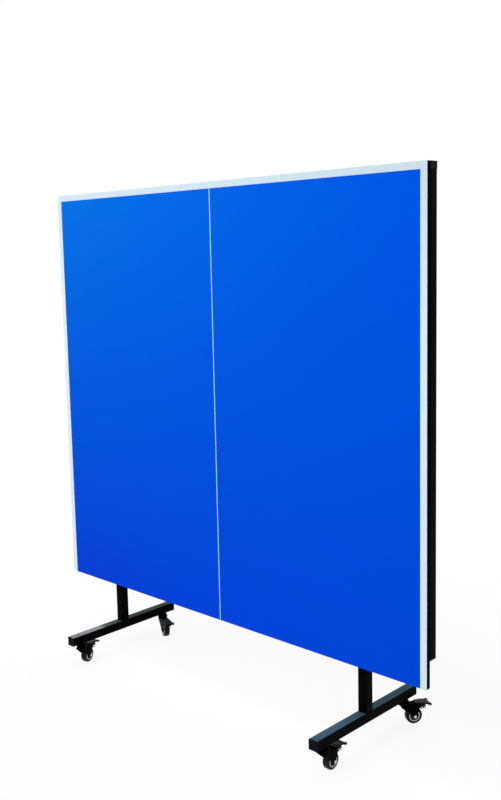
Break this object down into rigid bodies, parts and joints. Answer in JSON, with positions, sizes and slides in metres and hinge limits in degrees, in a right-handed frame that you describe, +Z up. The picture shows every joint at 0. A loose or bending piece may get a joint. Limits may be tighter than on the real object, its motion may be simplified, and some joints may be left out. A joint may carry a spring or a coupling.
{
  "type": "ping pong table",
  "caption": "Half of a rollaway ping pong table stored upright: blue board on a black steel frame that tilts on two braked-caster T-feet, with self-folding end legs.",
  "frame": {"origin": "on the floor, midway between the two posts", "axes": "+X along the net edge, to the right as the playing face is seen; +Y behind the board, away from the playing face; +Z up"},
  "size_m": [1.525, 0.5022, 1.622],
  "materials": {
    "blue_face": "satin roller-coated playing paint on a wood board",
    "white_line": "flat white line paint",
    "edge_band": "black plastic edge band",
    "black_frame": "satin black powder coat",
    "black_plastic": "moulded black plastic, fine grain",
    "grey_plastic": "smooth light grey moulded plastic",
    "bright_steel": "zinc-plated steel",
    "black_rubber": "matt black rubber",
    "tyre": "matt black rubber tread",
    "nylon": "natural nylon"
  },
  "bodies": {
    "base": {"left_foot": "black_frame", "right_foot": "black_frame", "left_post": "black_frame", "right_post": "black_frame", "base_brace": "black_frame", "base_end_caps": "black_plastic", "post_top_caps": "black_plastic", "post_link_tabs": "black_frame", "post_link_pins": "bright_steel", "caster_stems": "black_frame", "clamp_bolts": "bright_steel"},
    "table_top": {"playing_board": "blue_face", "edge_band": "edge_band", "court_lines": "white_line", "side_rails": "black_frame", "end_rail": "black_frame", "pivot_rails": "black_frame", "centre_rail": "black_frame", "cross_rails": "black_frame", "net_end_strap": "black_frame", "rail_end_plugs": "black_plastic", "tilt_brackets": "black_frame", "leg_hinge_brackets": "black_frame", "frame_screws": "bright_steel", "pivot_bolts": "bright_steel", "pivot_washers": "nylon", "storage_bumpers": "black_rubber"},
    "left_clamp_knob": {"left_clamp_knob": "black_plastic"},
    "right_clamp_knob": {"right_clamp_knob": "black_plastic"},
    "end_legs": {"left_end_leg": "black_frame", "right_end_leg": "black_frame", "end_leg_brace": "black_frame", "leg_link_tabs": "black_frame", "leg_link_pins": "bright_steel", "leg_end_caps": "black_plastic"},
    "left_leveller": {"left_leveller": "black_plastic"},
    "right_leveller": {"right_leveller": "black_plastic"},
    "left_link": {"left_link": "black_frame"},
    "right_link": {"right_link": "black_frame"},
    "left_front_caster": {"left_front_fork": "black_frame", "left_front_axle": "bright_steel"},
    "left_front_wheel": {"left_front_tyre": "tyre", "left_front_hub": "grey_plastic"},
    "left_front_brake": {"left_front_pedal": "black_plastic"},
    "left_back_caster": {"left_back_fork": "black_frame", "left_back_axle": "bright_steel"},
    "left_back_wheel": {"left_back_tyre": "tyre", "left_back_hub": "grey_plastic"},
    "left_back_brake": {"left_back_pedal": "black_plastic"},
    "right_front_caster": {"right_front_fork": "black_frame", "right_front_axle": "bright_steel"},
    "right_front_wheel": {"right_front_tyre": "tyre", "right_front_hub": "grey_plastic"},
    "right_front_brake": {"right_front_pedal": "black_plastic"},
    "right_back_caster": {"right_back_fork": "black_frame", "right_back_axle": "bright_steel"},
    "right_back_wheel": {"right_back_tyre": "tyre", "right_back_hub": "grey_plastic"},
    "right_back_brake": {"right_back_pedal": "black_plastic"}
  },
  "joints": [
    {"name": "table_tilt", "type": "hinge", "parent": "base", "child": "table_top", "pos_m": [0, 0, 0.721], "axis": [-1, 0, 0], "range_deg": [0, 90]},
    {"name": "end_leg_fold", "type": "hinge", "parent": "table_top", "child": "end_legs", "pos_m": [0, 0, 1.515], "axis": [1, 0, 0], "range_deg": [0, 90]},
    {"name": "left_link_swing", "type": "hinge", "parent": "base", "child": "left_link", "pos_m": [-0.5523, 0.055, 0.666], "axis": [-1, 0, 0], "range_deg": [0, 90]},
    {"name": "right_link_swing", "type": "hinge", "parent": "base", "child": "right_link", "pos_m": [0.5523, 0.055, 0.666], "axis": [-1, 0, 0], "range_deg": [0, 90]},
    {"name": "left_clamp_turn", "type": "hinge", "parent": "base", "child": "left_clamp_knob", "pos_m": [-0.5, 0, 0.676], "axis": [-1, 0, 0], "range_deg": [0, 270]},
    {"name": "right_clamp_turn", "type": "hinge", "parent": "base", "child": "right_clamp_knob", "pos_m": [0.5, 0, 0.676], "axis": [1, 0, 0], "range_deg": [0, 270]},
    {"name": "left_leveller_screw", "type": "slide", "parent": "end_legs", "child": "left_leveller", "axis": [0, 0, -1], "range_m": [0, 0.01]},
    {"name": "right_leveller_screw", "type": "slide", "parent": "end_legs", "child": "right_leveller", "axis": [0, 0, -1], "range_m": [0, 0.01]},
    {"name": "left_front_swivel", "type": "hinge", "parent": "base", "child": "left_front_caster", "pos_m": [-0.535, -0.19, 0.063], "axis": [0, 0, 1], "continuous": true},
    {"name": "left_front_roll", "type": "hinge", "parent": "left_front_caster", "child": "left_front_wheel", "pos_m": [-0.54327, -0.16116, 0.025], "axis": [-0.9613, -0.2756, 0], "continuous": true},
    {"name": "left_front_brake_press", "type": "hinge", "parent": "left_front_caster", "child": "left_front_brake", "pos_m": [-0.54575, -0.15251, 0.0565], "axis": [-0.9613, -0.2756, 0], "range_deg": [0, 12]},
    {"name": "left_back_swivel", "type": "hinge", "parent": "base", "child": "left_back_caster", "pos_m": [-0.535, 0.19, 0.063], "axis": [0, 0, 1], "continuous": true},
    {"name": "left_back_roll", "type": "hinge", "parent": "left_back_caster", "child": "left_back_wheel", "pos_m": [-0.50781, 0.17732, 0.025], "axis": [0.4226, 0.9063, 0], "continuous": true},
    {"name": "left_back_brake_press", "type": "hinge", "parent": "left_back_caster", "child": "left_back_brake", "pos_m": [-0.49965, 0.17352, 0.0565], "axis": [0.4226, 0.9063, 0], "range_deg": [0, 12]},
    {"name": "right_front_swivel", "type": "hinge", "parent": "base", "child": "right_front_caster", "pos_m": [0.535, -0.19, 0.063], "axis": [0, 0, 1], "continuous": true},
    {"name": "right_front_roll", "type": "hinge", "parent": "right_front_caster", "child": "right_front_wheel", "pos_m": [0.535, -0.16, 0.025], "axis": [-1, 0, 0], "continuous": true},
    {"name": "right_front_brake_press", "type": "hinge", "parent": "right_front_caster", "child": "right_front_brake", "pos_m": [0.535, -0.151, 0.0565], "axis": [-1, 0, 0], "range_deg": [0, 12]},
    {"name": "right_back_swivel", "type": "hinge", "parent": "base", "child": "right_back_caster", "pos_m": [0.535, 0.19, 0.063], "axis": [0, 0, 1], "continuous": true},
    {"name": "right_back_roll", "type": "hinge", "parent": "right_back_caster", "child": "right_back_wheel", "pos_m": [0.55178, 0.21487, 0.025], "axis": [-0.829, 0.5592, 0], "continuous": true},
    {"name": "right_back_brake_press", "type": "hinge", "parent": "right_back_caster", "child": "right_back_brake", "pos_m": [0.55681, 0.22233, 0.0565], "axis": [-0.829, 0.5592, 0], "range_deg": [0, 12]}
  ],
  "couplings": [
    {"joint": "end_leg_fold", "follows": "table_tilt", "ratio": 1},
    {"joint": "left_link_swing", "follows": "table_tilt", "ratio": 1},
    {"joint": "right_link_swing", "follows": "table_tilt", "ratio": 1}
  ]
}
